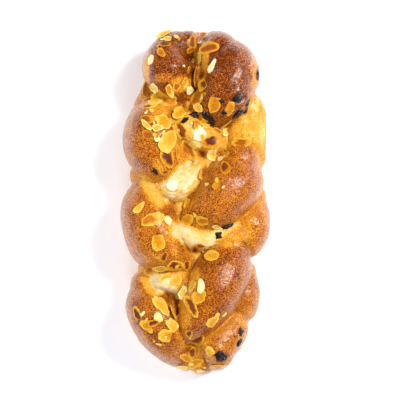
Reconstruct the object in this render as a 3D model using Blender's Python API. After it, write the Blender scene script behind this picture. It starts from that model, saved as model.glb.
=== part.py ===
"""Braided Christmas bread: a plait of rich yeast dough with almond flakes and raisins.

The loaf lies on its flat baked base with +Z up. Its length runs along Y, the broad
end of the plait at +Y and the pointed end at -Y, and the origin is the middle of
the base. Every strand of the plait is a ball of dough drawn out along its own route.
The strands, the crumb under them and the almond flakes are joined into one solid,
and each raisin is a solid of its own in a pocket of the crust.

Run it with blender --background --python part.py, or from Blender's text editor.
"""

import math
import random
from dataclasses import dataclass

import bmesh
import bpy
from mathutils import Matrix, Vector
from mathutils.bvhtree import BVHTree

MM = 0.001

# The cross-section of a strand, in mm. Its top and its foot are parts of one
# rounded outline, widest at a height that tall strands share.
ROUNDNESS = 2.3
WIDEST_AT = 30.0
LOW_STRAND_WIDEST = 0.5
FOOT_DEPTH = 1.17
FOOT_LEAN = 7.0
LEAN_WITHIN = 120.0

# How finely a strand is drawn: sides round it, rings in each rounded end and
# rings from end to end.
SIDES = 40
END_RINGS = 8
RINGS = 56

# The dough is grown together on a fine grid, then drawn with fewer, larger faces.
DOUGH_GRID = 1.5
DOUGH_FACES = 5000
BASE_CUT = 4.0

# Almond flakes, in mm: sliced kernels, thicker here than the real 1 mm so that
# they join the crust cleanly.
FLAKE_SIDES = 8
FLAKE_THICKNESS = 1.7
FLAKE_SUNK = 0.75
WHOLE = 0.56
ROUND = 0.78
EDGE_ON = 0.34

# Raisins, in mm.
RAISIN_FLATNESS = 0.78
RAISIN_WRINKLE = 0.07
RAISIN_SUNK = 0.12
POCKET_GAP = 0.45

SCATTER_SEED = 24
SCATTER_SPACING = 8.5


@dataclass(frozen=True)
class Strand:
    """One visible pass of a strand: (x, y, height of its crest, half width) along it, in mm."""

    name: str
    route: tuple


@dataclass(frozen=True)
class Flake:
    """One almond flake: where it lies, its length in mm, its turn in degrees and its shape."""

    x: float
    y: float
    length: float
    turn: float
    shape: float = WHOLE


@dataclass(frozen=True)
class Raisin:
    """One raisin that shows in the crust: where, its length and width in mm, its turn in degrees."""

    x: float
    y: float
    length: float
    width: float
    turn: float


# The lower dough that the plait rests on, out of sight except in the deepest folds.
UNDER_DOUGH = (
    Strand("crumb", ((-3, 94, 42, 40), (0, 30, 46, 45), (0, -30, 46, 45), (-3, -88, 42, 40))),
    Strand("crumb_left", ((-21, 104, 32, 17), (-25, 40, 32, 18), (-25, -40, 32, 18), (-20, -98, 32, 17))),
    Strand("crumb_right", ((21, 104, 32, 17), (25, 40, 32, 18), (24, -40, 32, 18), (7, -106, 32, 18))),
)

# The passes that make the top of the plait, from the broad end down.
TOP_STRANDS = (
    Strand("left_1", ((-7, 126.5, 48, 12.5), (-16, 123, 54, 16), (-20.5, 115, 62, 20.5),
                      (-21.5, 105, 66, 21), (-16, 95, 60, 18), (-5, 86, 46, 11))),
    Strand("right_1", ((16, 120, 58, 18), (20, 115, 62.5, 21), (26.3, 106, 66, 23.7),
                       (25.5, 96, 68, 24), (20, 82, 66, 23), (6, 71, 56, 15), (-8, 64, 46, 9))),
    Strand("left_2", ((-26, 78, 50, 13), (-33, 64, 64, 21.8), (-33.7, 46, 68, 24.5),
                      (-24, 33, 64, 22), (-11, 24, 54, 17), (2, 18, 42, 10))),
    Strand("right_2", ((35, 35, 56, 17), (30.5, 19, 68, 24.8), (20, 3, 70, 24),
                       (8, -7, 66, 19), (-4, -13, 56, 13), (-14, -20, 44, 9))),
    Strand("left_3", ((-36, 12, 50, 16), (-38, -4, 64, 22.5), (-35, -20, 68, 24),
                      (-28, -34, 66, 23.5), (-14, -45, 58, 14), (0, -50, 44, 8))),
    Strand("right_3", ((30, -33, 54, 15), (23, -50, 66, 23), (15, -68, 70, 24),
                       (4, -86, 68, 21), (-4, -100, 60, 15), (-8, -110, 50, 8))),
    Strand("left_4", ((-37.5, -68, 48, 15.5), (-36, -81, 60, 21), (-29, -97, 62, 21.3),
                      (-16.8, -111.5, 54, 19.5), (-5.5, -121, 42, 16))),
    Strand("right_4", ((33, -90, 42, 13), (24, -104, 50, 16.3), (12, -117, 52, 20),
                       (4.5, -122.5, 42, 17))),
)

# The lower passes that bulge out between the top ones at the sides.
SIDE_STRANDS = (
    Strand("low_right_1", ((35, 84, 38, 13), (37.7, 73, 46, 17.8), (38.3, 50, 48, 18.5),
                           (37.5, 34, 42, 18.5))),
    Strand("low_right_2", ((43, 4, 36, 14), (42, -12, 50, 18), (39, -26, 50, 19), (30, -40, 42, 15))),
    Strand("low_right_3", ((36, -56, 38, 13), (35.3, -70, 46, 16.5), (34.3, -85, 44, 15.3), (30, -95, 34, 11.5))),
    Strand("low_left_1", ((-28, 104, 36, 14), (-30, 90, 42, 15), (-36, 76, 36, 15))),
    Strand("low_left_2", ((-38, 34, 36, 14), (-38, 20, 42, 15.5), (-38, 6, 36, 14))),
    Strand("low_left_3", ((-34, -42, 32, 12), (-34, -54, 40, 13.5), (-34, -66, 32, 12))),
)

# The pale ends of strands, pulled out from under their neighbours as the dough rose.
STRETCHED_DOUGH = (
    Strand("stretch_seam", ((2, 122, 42, 11), (6, 110, 48, 11), (5, 97, 50, 10))),
    Strand("stretch_end", ((-18, 124.5, 36, 14.5), (14, 124, 36, 14.5))),
    Strand("stretch_1", ((-18, 72, 48, 11), (-8, 62, 55, 15), (4, 53, 55, 15), (15, 46, 50, 13))),
    Strand("stretch_2", ((-38, 14, 44, 10), (-22, 14, 57, 16), (-8, 18, 57, 17), (2, 28, 50, 11))),
    Strand("stretch_3", ((-18, -16, 50, 9), (-8, -24, 56, 13), (6, -28, 58, 13),
                         (20, -27, 56, 12), (36, -18, 50, 12))),
    Strand("stretch_4", ((-38, -60, 44, 8), (-28, -62, 52, 12), (-14, -63, 53, 13))),
    Strand("stretch_5", ((45, -10, 44, 10), (38, -22, 52, 12), (29, -30, 54, 12))),
)

# The large almond flakes, each where it shows on the loaf.
LARGE_FLAKES = (
    Flake(-22.5, 131, 14, 25),
    Flake(-25, 123, 10, -30),
    Flake(-3, 127, 11, 70),
    Flake(11, 121.5, 17, -5),
    Flake(-35, 112, 8, 110, ROUND),
    Flake(13, 107, 11, 55, EDGE_ON),
    Flake(-2, 100, 14, 82, EDGE_ON),
    Flake(-34, 92, 10, 105),
    Flake(-21, 91, 13, 98, EDGE_ON),
    Flake(7, 94, 12, 25),
    Flake(2, 85, 13, 60, ROUND),
    Flake(14.5, 79, 16, 75),
    Flake(26, 75, 11, 70),
    Flake(-34, 77, 18, 25, EDGE_ON),
    Flake(-26, 64, 17, 35),
    Flake(-37, 53, 10, -15),
    Flake(-22, 48, 20, 45),
    Flake(-10, 55, 14, -60),
    Flake(12, 48, 15, 15),
    Flake(36.5, 47.5, 15, 3, EDGE_ON),
    Flake(14, 37, 11, -10, ROUND),
    Flake(-22, 33, 16, -65),
    Flake(-8, 40, 16, -50),
    Flake(23, 27, 14, 105, EDGE_ON),
    Flake(-18, 15, 11, 70, ROUND),
    Flake(-33, -13, 17, 20),
    Flake(-6, -13.5, 11, 30, ROUND),
    Flake(6, -14, 10, 10, ROUND),
    Flake(13, -42, 12, -40, ROUND),
    Flake(-30, -31, 16, 95),
    Flake(-16, -49.5, 14, -20),
    Flake(-7.5, -48.5, 9, 110),
    Flake(-2, -64.5, 11, 65),
    Flake(-3, -81.5, 17, -48, EDGE_ON),
    Flake(-27, -81.5, 17, -60),
    Flake(-45, -89, 14, -60),
    Flake(-38, -97, 11, -50),
    Flake(-19, -96, 14, -45),
    Flake(-22, -104.5, 16, -15),
    Flake(13, -92.5, 10, 40, ROUND),
    Flake(1.5, -108, 12, 65, ROUND),
    Flake(11.5, -118, 9, -60),
    Flake(0, -128, 13, 30),
    Flake(-9, -132, 12, -20),
)

# Where the small flakes lie thickest: the middle of each drift, its spread in
# mm along X and along Y, and how many flakes fell there.
FLAKE_DRIFTS = (
    ((-14, 118), (14, 12), 4),
    ((-12, 90), (20, 8), 4),
    ((-8, 64), (18, 8), 4),
    ((-2, -2), (22, 10), 3),
    ((-20, -56), (12, 6), 3),
    ((0, -74), (12, 8), 3),
    ((-14, -92), (14, 6), 2),
    ((4, -126), (12, 6), 2),
)

RAISINS = (
    Raisin(48.5, 101, 10, 6, 85),
    Raisin(32.5, 81.5, 10, 7, 25),
    Raisin(33, 70, 11, 7, 60),
    Raisin(40, 78, 9, 5, 60),
    Raisin(-2, 69, 13, 6, 15),
    Raisin(10, 67, 12, 7, -55),
    Raisin(-32, 24, 8, 5, -65),
    Raisin(25, -18, 13, 7, 40),
    Raisin(17.5, -25.5, 8, 6, 20),
    Raisin(35.5, -103, 8, 7, 80),
    Raisin(34, -111.5, 9, 6, 75),
    Raisin(20, -122, 12, 8, -40),
)


def make_material(name, colour, roughness):
    """A Principled material with one colour."""
    material = bpy.data.materials.new(name)
    material.use_nodes = True
    shader = material.node_tree.nodes["Principled BSDF"]
    shader.inputs["Base Color"].default_value = (*colour, 1.0)
    shader.inputs["Roughness"].default_value = roughness
    shader.inputs["Metallic"].default_value = 0.0
    return material


def make_object(name, bm, material=None):
    """A mesh object made from bm, which is freed."""
    mesh = bpy.data.meshes.new(name)
    bm.to_mesh(mesh)
    bm.free()
    obj = bpy.data.objects.new(name, mesh)
    bpy.context.scene.collection.objects.link(obj)
    if material:
        mesh.materials.append(material)
    return obj


def smooth_route(points, share):
    """The point at share, from 0 to 1, of a smooth curve through the points."""
    spans = len(points) - 1
    place = min(share * spans, spans - 1e-6)
    i = int(place)
    t = place - i
    b = Vector(points[i])
    c = Vector(points[i + 1])
    a = Vector(points[i - 1]) if i else 2 * b - c
    d = Vector(points[i + 2]) if i + 2 <= spans else 2 * c - b
    return 0.5 * (2 * b + (c - a) * t + (2 * a - 5 * b + 4 * c - d) * t**2 + (3 * b - a - 3 * c + d) * t**3)


def rounded(value):
    """A cosine or a sine bent into the strand's outline, which is fuller than an ellipse."""
    return math.copysign(abs(value) ** (2 / ROUNDNESS), value)


def strand_point(strand, ring, turn, rings, end_rings):
    """The surface point, in mm, on a ring of the strand, at an angle round it."""
    if ring <= end_rings:
        share, tip = 0.0, -math.cos(math.pi / 2 * ring / end_rings)
    elif ring >= rings - end_rings:
        share, tip = 1.0, math.cos(math.pi / 2 * (rings - ring) / end_rings)
    else:
        share, tip = (ring - end_rings) / (rings - 2 * end_rings), 0.0
    x, y, crest, half_width = smooth_route(strand.route, share)
    step = 0.01
    ahead = smooth_route(strand.route, min(share + step, 1.0))
    behind = smooth_route(strand.route, max(share - step, 0.0))
    along = Vector((ahead[0] - behind[0], ahead[1] - behind[1], 0)).normalized()
    across = Vector((along.y, -along.x, 0))
    size = math.sqrt(max(1 - tip * tip, 0))
    widest = min(WIDEST_AT, LOW_STRAND_WIDEST * crest)
    reach = crest - widest if math.sin(turn) > 0 else FOOT_DEPTH * widest
    rise = reach * rounded(math.sin(turn)) * size
    lean = FOOT_LEAN * max(-rise / widest, 0) ** 1.5 * max(1 - (y / LEAN_WITHIN) ** 2, 0)
    point = Vector((x, y + lean, 0)) + along * half_width * tip
    point += across * half_width * rounded(math.cos(turn)) * size
    point.z = max(widest + rise, -BASE_CUT)
    return point


def add_strand(strand):
    """A ball of dough drawn out along the strand's route."""
    bm = bmesh.new()
    bmesh.ops.create_uvsphere(bm, u_segments=SIDES, v_segments=RINGS, radius=1)
    for vert in bm.verts:
        ring = round(math.acos(max(-1.0, min(1.0, vert.co.z))) / math.pi * RINGS)
        turn = math.atan2(vert.co.y, vert.co.x)
        vert.co = strand_point(strand, ring, turn, RINGS, END_RINGS) * MM
    bmesh.ops.recalc_face_normals(bm, faces=bm.faces)
    return make_object(strand.name, bm)


def apply_modifiers(obj):
    """Replaces the object's mesh by the one that its modifiers make."""
    bpy.context.view_layer.update()
    graph = bpy.context.evaluated_depsgraph_get()
    mesh = bpy.data.meshes.new_from_object(obj.evaluated_get(graph))
    obj.modifiers.clear()
    obj.data = mesh


def grow_together(name, strands):
    """One mass of dough from all the strands, as they join in the oven."""
    bm = bmesh.new()
    for strand in strands:
        obj = add_strand(strand)
        bm.from_mesh(obj.data)
        bpy.data.objects.remove(obj)
    dough = make_object(name, bm)
    grid = dough.modifiers.new("grow_together", "REMESH")
    grid.mode = "VOXEL"
    grid.voxel_size = DOUGH_GRID * MM
    apply_modifiers(dough)
    drop_scraps(dough)
    fewer = dough.modifiers.new("fewer_faces", "DECIMATE")
    fewer.use_collapse_triangulate = True
    fewer.ratio = DOUGH_FACES / (2 * len(dough.data.polygons))
    apply_modifiers(dough)
    return dough


class Crust:
    """The surface that flakes and raisins lie on, found by looking down on the dough."""

    def __init__(self, dough):
        points = [vert.co for vert in dough.data.vertices]
        self.tree = BVHTree.FromPolygons(points, [face.vertices for face in dough.data.polygons])

    def below(self, x, y):
        """The highest surface point and its normal at x, y in mm, or None off the loaf."""
        place, normal = self.tree.ray_cast(Vector((x * MM, y * MM, 1.0)), Vector((0, 0, -1)))[:2]
        return (place, normal) if place else None


def seat(place, normal, turn):
    """The matrix that lays a piece flat on a surface point, turned about its normal."""
    forward = Vector((math.cos(math.radians(turn)), math.sin(math.radians(turn)), 0))
    side = normal.cross(forward).normalized()
    forward = side.cross(normal)
    axes = Matrix((forward, side, normal)).transposed()
    return Matrix.Translation(place) @ axes.to_4x4()


def add_flake(name, flake, crust):
    """An almond slice with one blunt and one pointed end, pressed a little into the crust."""
    found = crust.below(flake.x, flake.y)
    if found is None:
        return None
    place, normal = found
    bm = bmesh.new()
    bmesh.ops.create_cone(bm, cap_ends=True, segments=FLAKE_SIDES, radius1=1, radius2=1, depth=1)
    width = flake.length * flake.shape
    for vert in bm.verts:
        point_end = 1 - 0.2 * vert.co.x
        vert.co.x *= flake.length / 2 * MM
        vert.co.y *= width / 2 * point_end * MM
        vert.co.z = (vert.co.z + 0.5) * FLAKE_THICKNESS * MM - FLAKE_SUNK * MM
    bm.transform(seat(place, normal, flake.turn))
    return make_object(name, bm)


def scattered_flakes():
    """The small flakes: drawn in each drift, and kept only where they lie clear of the rest."""
    draw = random.Random(SCATTER_SEED)
    taken = [(f.x, f.y) for f in LARGE_FLAKES] + [(r.x, r.y) for r in RAISINS]
    flakes = []
    for (mid_x, mid_y), (spread_x, spread_y), count in FLAKE_DRIFTS:
        kept = 0
        for _ in range(60):
            x = mid_x + draw.uniform(-spread_x, spread_x)
            y = mid_y + draw.uniform(-spread_y, spread_y)
            flake = Flake(x, y, draw.uniform(6.5, 10), draw.uniform(0, 180), draw.choice((WHOLE, ROUND)))
            if kept < count and all(math.hypot(x - a, y - b) > SCATTER_SPACING for a, b in taken):
                taken.append((x, y))
                flakes.append(flake)
                kept += 1
    return flakes


def add_raisin(name, raisin, crust, margin, wrinkle_seed):
    """A shrivelled raisin, sunk a little in the crust. The margin makes its pocket's cutter."""
    place, normal = crust.below(raisin.x, raisin.y)
    draw = random.Random(wrinkle_seed)
    bm = bmesh.new()
    bmesh.ops.create_icosphere(bm, subdivisions=2, radius=1)
    half = Vector((raisin.length, raisin.width, raisin.width * RAISIN_FLATNESS)) / 2
    for vert in bm.verts:
        swell = 1 + draw.uniform(-RAISIN_WRINKLE, RAISIN_WRINKLE)
        out = vert.co.normalized()
        vert.co = Vector((out.x * half.x, out.y * half.y, out.z * half.z)) * swell + out * margin
        vert.co *= MM
    bm.transform(seat(place - normal * raisin.width * RAISIN_SUNK * MM, normal, raisin.turn))
    return make_object(name, bm)


def gather(name, objects):
    """A collection that holds these objects for a Boolean."""
    collection = bpy.data.collections.new(name)
    bpy.context.scene.collection.children.link(collection)
    for obj in objects:
        bpy.context.scene.collection.objects.unlink(obj)
        collection.objects.link(obj)
    return collection


def combine(target, objects, operation, name):
    """One Boolean of the target with all the objects, applied, and the objects removed."""
    collection = gather(name, objects)
    modifier = target.modifiers.new(name, "BOOLEAN")
    modifier.operation = operation
    modifier.operand_type = "COLLECTION"
    modifier.collection = collection
    modifier.solver = "MANIFOLD"
    apply_modifiers(target)
    for obj in objects:
        bpy.data.objects.remove(obj)
    bpy.data.collections.remove(collection)


def add_baking_sheet():
    """A slab under the base. Cutting it away leaves the loaf a flat face to stand on."""
    bm = bmesh.new()
    bmesh.ops.create_cube(bm, size=1)
    depth = 2 * FOOT_DEPTH * WIDEST_AT
    bmesh.ops.scale(bm, vec=(400 * MM, 400 * MM, depth * MM), verts=bm.verts)
    bmesh.ops.translate(bm, vec=(0, 0, -depth / 2 * MM), verts=bm.verts)
    return make_object("baking_sheet", bm)


def drop_scraps(obj):
    """Keeps the loaf itself, without any loose scrap or sealed hollow that the joining left."""
    bm = bmesh.new()
    bm.from_mesh(obj.data)
    left = set(bm.verts)
    groups = []
    while left:
        group = set()
        front = [left.pop()]
        while front:
            vert = front.pop()
            group.add(vert)
            for edge in vert.link_edges:
                other = edge.other_vert(vert)
                if other in left:
                    left.discard(other)
                    front.append(other)
        groups.append(group)
    groups.sort(key=len)
    scraps = [vert for group in groups[:-1] for vert in group]
    bmesh.ops.delete(bm, geom=scraps, context="VERTS")
    bm.to_mesh(obj.data)
    bm.free()


def centre_on_base(objects):
    """Moves the whole bread so that the middle of its outline is at the origin."""
    points = [vert.co for obj in objects for vert in obj.data.vertices]
    middle_x = (min(p.x for p in points) + max(p.x for p in points)) / 2
    middle_y = (min(p.y for p in points) + max(p.y for p in points)) / 2
    shift = Matrix.Translation((-middle_x, -middle_y, 0))
    for obj in objects:
        obj.data.transform(shift)


def main():
    """Builds the loaf, then its raisins."""
    for obj in list(bpy.data.objects):
        bpy.data.objects.remove(obj)
    baked_crust = make_material("baked_crust", (0.55, 0.24, 0.06), 0.35)
    raisin_skin = make_material("raisin_skin", (0.02, 0.012, 0.012), 0.4)

    loaf = grow_together("loaf", (*UNDER_DOUGH, *TOP_STRANDS, *SIDE_STRANDS, *STRETCHED_DOUGH))
    crust = Crust(loaf)
    flakes = [*LARGE_FLAKES, *scattered_flakes()]
    almonds = [add_flake(f"flake_{n}", flake, crust) for n, flake in enumerate(flakes)]
    combine(loaf, [almond for almond in almonds if almond], "UNION", "almonds")

    raisins = []
    cutters = [add_baking_sheet()]
    for n, raisin in enumerate(RAISINS, 1):
        raisins.append(add_raisin(f"raisin_{n:02d}", raisin, crust, 0, n))
        cutters.append(add_raisin(f"pocket_{n:02d}", raisin, crust, POCKET_GAP, n))
    combine(loaf, cutters, "DIFFERENCE", "base_and_pockets")
    drop_scraps(loaf)

    loaf.data.materials.clear()
    loaf.data.materials.append(baked_crust)
    for raisin in raisins:
        raisin.data.materials.append(raisin_skin)
        raisin.data.shade_smooth()
    loaf.data.shade_smooth()
    loaf.data.set_sharp_from_angle(angle=math.radians(35))
    centre_on_base([loaf, *raisins])


main()
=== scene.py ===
"""Dresses the braided Christmas bread: its baked crust, its almond flakes and its raisins.

The loaf is drawn in millimetres from above, with +Y towards its broad end, and is
then moved by MIDDLE so that the middle of its outline is over the frame's origin.
Every strand of the plait is a ball of dough drawn out along its own route. The
strands grow together on a fine grid, get the relief of a real crust, and are
browned by how far each place lies from the folds.
"""

import logging
import math
import random
from collections.abc import Iterable, Sequence
from dataclasses import dataclass
from enum import Enum

import bmesh
import bpy
import numpy as np
from mathutils import Matrix, Vector, noise
from mathutils.bvhtree import BVHTree


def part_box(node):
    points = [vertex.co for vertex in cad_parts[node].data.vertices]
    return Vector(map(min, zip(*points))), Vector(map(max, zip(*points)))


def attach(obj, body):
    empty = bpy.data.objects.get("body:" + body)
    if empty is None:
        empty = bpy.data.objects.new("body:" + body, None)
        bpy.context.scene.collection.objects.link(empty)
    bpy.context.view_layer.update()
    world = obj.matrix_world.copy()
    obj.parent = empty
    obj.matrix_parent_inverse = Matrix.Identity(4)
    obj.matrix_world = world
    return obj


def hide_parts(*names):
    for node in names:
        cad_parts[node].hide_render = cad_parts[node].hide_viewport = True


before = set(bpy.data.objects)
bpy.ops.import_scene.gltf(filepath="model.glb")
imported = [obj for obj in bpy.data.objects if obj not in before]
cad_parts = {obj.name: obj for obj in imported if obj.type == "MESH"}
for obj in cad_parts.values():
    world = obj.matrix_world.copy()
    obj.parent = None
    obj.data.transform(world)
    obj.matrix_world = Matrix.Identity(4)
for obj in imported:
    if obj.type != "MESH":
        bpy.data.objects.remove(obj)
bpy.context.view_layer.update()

log = logging.getLogger("braided_bread")

MM = 0.001

# The inputs of a Map Range node in the order of the tables below.
RANGE_INPUTS = ("Value", "From Min", "From Max", "To Min", "To Max")

# The middle of the loaf's outline in the drawing, in mm.
MIDDLE = (-0.34, -0.27)


class Dough(Enum):
    """Where a strand lies in the plait, which sets how the oven treats it."""

    TOP = "top"
    SIDE = "side"
    STRETCHED = "stretched"
    UNDER = "under"


@dataclass(frozen=True)
class Strand:
    """One pass of a strand of the plait.

    Attributes:
        name: What the pass is called.
        kind: Where it lies in the plait.
        bake: How brown its crest is, from 0 for raw cream to 1 for dark brown.
        fold: How brown it is where it folds in under its neighbours.
        route: Its (x, y, height of crest, half width) along it, in mm.
    """

    name: str
    kind: Dough
    bake: float
    fold: float
    route: tuple[tuple[float, float, float, float], ...]


@dataclass(frozen=True)
class Oval:
    """An oval place on the crust, seen from above.

    Attributes:
        x: Its middle along X, in mm.
        y: Its middle along Y, in mm.
        reach: Half its length, in mm.
        breadth: Half its width, in mm.
        turn: The direction of its length, in degrees from +X.
    """

    x: float
    y: float
    reach: float
    breadth: float
    turn: float


@dataclass(frozen=True)
class BakePatch(Oval):
    """A place where the crust is paler or darker than its strand.

    Attributes:
        bake: How brown it is, from 0 to 1.
        torn: How fibrous it is, from 0 for smooth crust to 1 for pulled dough.
    """

    bake: float
    torn: float = 0.0


@dataclass(frozen=True)
class Hollow:
    """A deep place where folds meet, in mm. It is pressed down, and its colour is pulled to a middle brown:
    painted shade where the dough round it is pale.
    """

    x: float
    y: float
    radius: float
    depth: float


@dataclass(frozen=True)
class Flake:
    """One almond flake.

    Attributes:
        x: Where it lies along X, in mm.
        y: Where it lies along Y, in mm.
        length: Its length in mm.
        width: Its width in mm.
        turn: The direction of its pointed end, in degrees from +X.
        toast: How brown it is, from 0 for cream to 1 for dark brown.
        heart: How brown its heart is, or 0 for no darker than the rest.
        shift: Where the heart lies along it, from -1 at the blunt end to 1 at the point.
        stand: How far it stands up on its long edge, in degrees.
    """

    x: float
    y: float
    length: float
    width: float
    turn: float
    toast: float
    heart: float = 0.0
    shift: float = 0.0
    stand: float = 0.0


@dataclass(frozen=True)
class Raisin:
    """One raisin that shows in the crust, with its length and width in mm and its turn in degrees."""

    node: str
    x: float
    y: float
    length: float
    width: float
    turn: float


STRANDS = (
    Strand("left_1", Dough.TOP, 0.87, 0.66, (
        (-7, 126.5, 48, 12.5), (-16, 123, 54, 16), (-20.5, 115, 62, 20.5), (-21.5, 105, 66, 21),
        (-16, 95, 60, 18), (-5, 86, 46, 11),
    )),
    Strand("right_1", Dough.TOP, 0.84, 0.64, (
        (17, 119, 58, 19), (20.5, 114.5, 62.5, 21.5), (26.3, 106, 66, 23.7), (25.5, 96, 68, 24),
        (20, 82, 66, 23), (6, 71, 56, 15), (-8, 64, 46, 9),
    )),
    Strand("left_2", Dough.TOP, 0.66, 0.45, (
        (-26, 78, 50, 13), (-33, 64, 64, 21.8), (-33.7, 46, 68, 24.5), (-24, 33, 64, 22), (-11, 24, 54, 17),
        (2, 18, 42, 10),
    )),
    Strand("right_2", Dough.TOP, 0.66, 0.48, (
        (35, 35, 56, 17), (30.5, 19, 68, 24.8), (20, 3, 70, 24), (8, -7, 66, 19), (-4, -13, 56, 13),
        (-14, -20, 44, 9),
    )),
    Strand("left_3", Dough.TOP, 0.62, 0.46, (
        (-36, 12, 50, 16), (-38, -4, 64, 22.5), (-35, -20, 68, 24), (-28, -34, 66, 23.5),
        (-14, -45, 58, 14), (0, -50, 44, 8),
    )),
    Strand("right_3", Dough.TOP, 0.72, 0.64, (
        (30, -33, 54, 15), (23, -50, 66, 23), (15, -68, 70, 24), (4, -86, 68, 21), (-4, -100, 60, 15),
        (-8, -110, 50, 8),
    )),
    Strand("left_4", Dough.TOP, 0.66, 0.44, (
        (-37.5, -68, 48, 15.5), (-36, -81, 60, 21), (-29, -97, 62, 21.3), (-16.8, -111.5, 54, 19.5),
        (-5.5, -121, 42, 16),
    )),
    Strand("right_4", Dough.TOP, 0.6, 0.42, (
        (33, -90, 42, 13), (24, -104, 50, 16.3), (12, -117, 52, 20), (4.5, -122.5, 42, 17),
    )),
    Strand("low_right_1", Dough.SIDE, 0.34, 0.34, (
        (35, 84, 38, 13), (37.7, 73, 46, 17.8), (38.3, 50, 48, 18.5), (37.5, 34, 42, 18.5),
    )),
    Strand("low_right_2", Dough.SIDE, 0.6, 0.48, (
        (43, 4, 36, 14), (42, -12, 50, 18), (39, -26, 50, 19), (30, -40, 42, 15),
    )),
    Strand("low_right_3", Dough.SIDE, 0.66, 0.58, (
        (36, -56, 38, 13), (35.3, -70, 46, 16.5), (34.3, -85, 44, 15.3), (30, -95, 34, 11.5),
    )),
    Strand("low_left_1", Dough.SIDE, 0.54, 0.5, (
        (-28, 104, 36, 14), (-30, 90, 42, 15), (-36, 76, 36, 15),
    )),
    Strand("low_left_2", Dough.SIDE, 0.48, 0.42, (
        (-38, 34, 36, 14), (-38, 20, 42, 15.5), (-38, 6, 36, 14),
    )),
    Strand("low_left_3", Dough.SIDE, 0.48, 0.42, (
        (-34, -42, 32, 12), (-34, -54, 40, 13.5), (-34, -66, 32, 12),
    )),
    Strand("stretch_seam", Dough.STRETCHED, 0.44, 0.44, (
        (2, 122, 42, 11), (6, 110, 48, 11), (5, 97, 50, 10),
    )),
    Strand("stretch_end", Dough.SIDE, 0.62, 0.56, (
        (-18, 124.5, 36, 14.5), (14, 124, 36, 14.5),
    )),
    Strand("stretch_1", Dough.STRETCHED, 0.22, 0.26, (
        (-18, 72, 48, 11), (-8, 62, 55, 15), (4, 53, 55, 15), (15, 46, 50, 13),
    )),
    Strand("stretch_2", Dough.STRETCHED, 0.12, 0.18, (
        (-38, 14, 44, 10), (-22, 14, 57, 16), (-8, 18, 57, 17), (2, 28, 50, 11),
    )),
    Strand("stretch_3", Dough.STRETCHED, 0.1, 0.18, (
        (-18, -16, 50, 9), (-8, -24, 56, 13), (6, -28, 58, 13), (20, -27, 56, 12), (36, -18, 50, 12),
    )),
    Strand("stretch_4", Dough.STRETCHED, 0.1, 0.18, (
        (-38, -60, 44, 8), (-28, -62, 52, 12), (-14, -63, 53, 13),
    )),
    Strand("stretch_5", Dough.STRETCHED, 0.34, 0.34, (
        (45, -10, 44, 10), (38, -22, 52, 12), (29, -30, 54, 12),
    )),
    Strand("crumb", Dough.UNDER, 0.2, 0.2, (
        (-3, 94, 42, 40), (0, 30, 46, 45), (0, -30, 46, 45), (-3, -88, 42, 40),
    )),
    Strand("crumb_left", Dough.UNDER, 0.44, 0.4, (
        (-21, 104, 32, 17), (-25, 40, 32, 18), (-25, -40, 32, 18), (-20, -98, 32, 17),
    )),
    Strand("crumb_right", Dough.UNDER, 0.44, 0.4, (
        (21, 104, 32, 17), (25, 40, 32, 18), (24, -40, 32, 18), (7, -106, 32, 18),
    )),
)

# The numbers of each row below are the fields of its class, in their order.

# Where the dough was pulled out pale as it rose, where a crest is darker, and where the egg wash left a
# golden band along a fold. Two paler bands, along the left edge of left_1 and the right edge of right_1, are
# painted highlights where the light grazes those edges.
BAKE_PATCHES = tuple(BakePatch(*row) for row in (
    # The patch at (-40, 103) is a paler band along the left edge of left_1: a painted highlight.
    (21, 114, 19, 12, -60, 0.9), (-17, 118, 14, 10, -50, 0.84), (-40, 103, 15, 5, 86, 0.36),
    (-26, 97.5, 8, 5, 0, 0.6), (-29, 29, 8, 5, -50, 0.42), (7, 110, 14, 3.5, 82, 0.34, 0.4),
    (-10, 93, 12, 7, 10, 0.4), (-27, 76, 16, 9, -5, 0.38), (-14, 67, 10, 6, 35, 0.22, 0.5),
    (-3, 54, 15, 10, -40, 0.16, 0.7), (1.5, 54.5, 6, 5, 80, 0.0, 0.4), (-17, 42, 15, 7, -50, 0.42),
    (47, 66, 22, 13, 86, 0.26, 0.8), (48, 79, 11, 3.5, 78, 0.12, 0.8), (53, 55, 12, 3, 92, 0.14, 0.8),
    (56.5, 25, 22, 4.5, 88, 0.36, 0.3), (-11, 18, 25, 9.5, 51, 0.03, 0.8), (2, 33, 8, 5, 60, 0.16, 1.0),
    # The patch at (46, 100) is a paler band along the right edge of right_1: a painted highlight.
    (-34.5, 8, 17, 6, -58, 0.2, 0.2), (-22, -24, 20, 4.5, -70, 0.44), (46, 100, 20, 3.5, 92, 0.54),
    (-9, -26, 16, 7.5, -35, 0.02, 0.5), (15, -28.5, 15, 6, 15, 0.05, 0.6),
    (29, -20.5, 8, 3.5, 40, 0.12, 0.6), (46, -7, 20, 4.5, 50, 0.42, 0.2), (28, -29, 14, 7, 20, 0.38, 0.3),
    (-5, 0, 4, 14, -30, 0.5), (-22.5, -65, 20, 9.5, -4, 0.02, 0.6), (-38, -66, 13, 3.5, -55, 0.28),
    (-7, -60, 12, 7, 30, 0.26, 0.4), (-7, -78, 24, 8, 82, 0.46), (39, -94, 13, 9, 80, 0.5, 0.2),
))

# Deep places where folds meet. Each is pressed down, and its colour is pulled towards a middle brown, which
# paints shade into the pale dough round it.
HOLLOWS = tuple(Hollow(*row) for row in (
    (5.5, 135, 2.8, 6), (6.5, 129, 3.2, 8), (5.5, 101, 3.2, 5), (-10.5, 77, 3.0, 4), (5, 38.5, 3.6, 8),
    (-21, -8, 3.6, 7), (-0.5, -37, 2.6, 6), (-23.5, -76, 3.6, 8), (-7, -118, 3.0, 5),
))

# Patches of fine parallel wrinkles in the skin of the dough.
SKIN_WRINKLES = tuple(Oval(*row) for row in (
    (35, 97, 20, 10, 55), (-45, 58, 16, 8, 75), (42, 18, 14, 8, 50), (-45, -16, 16, 8, -80),
    (30, -56, 16, 9, 65), (-38, -100, 18, 9, -55),
))

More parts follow.
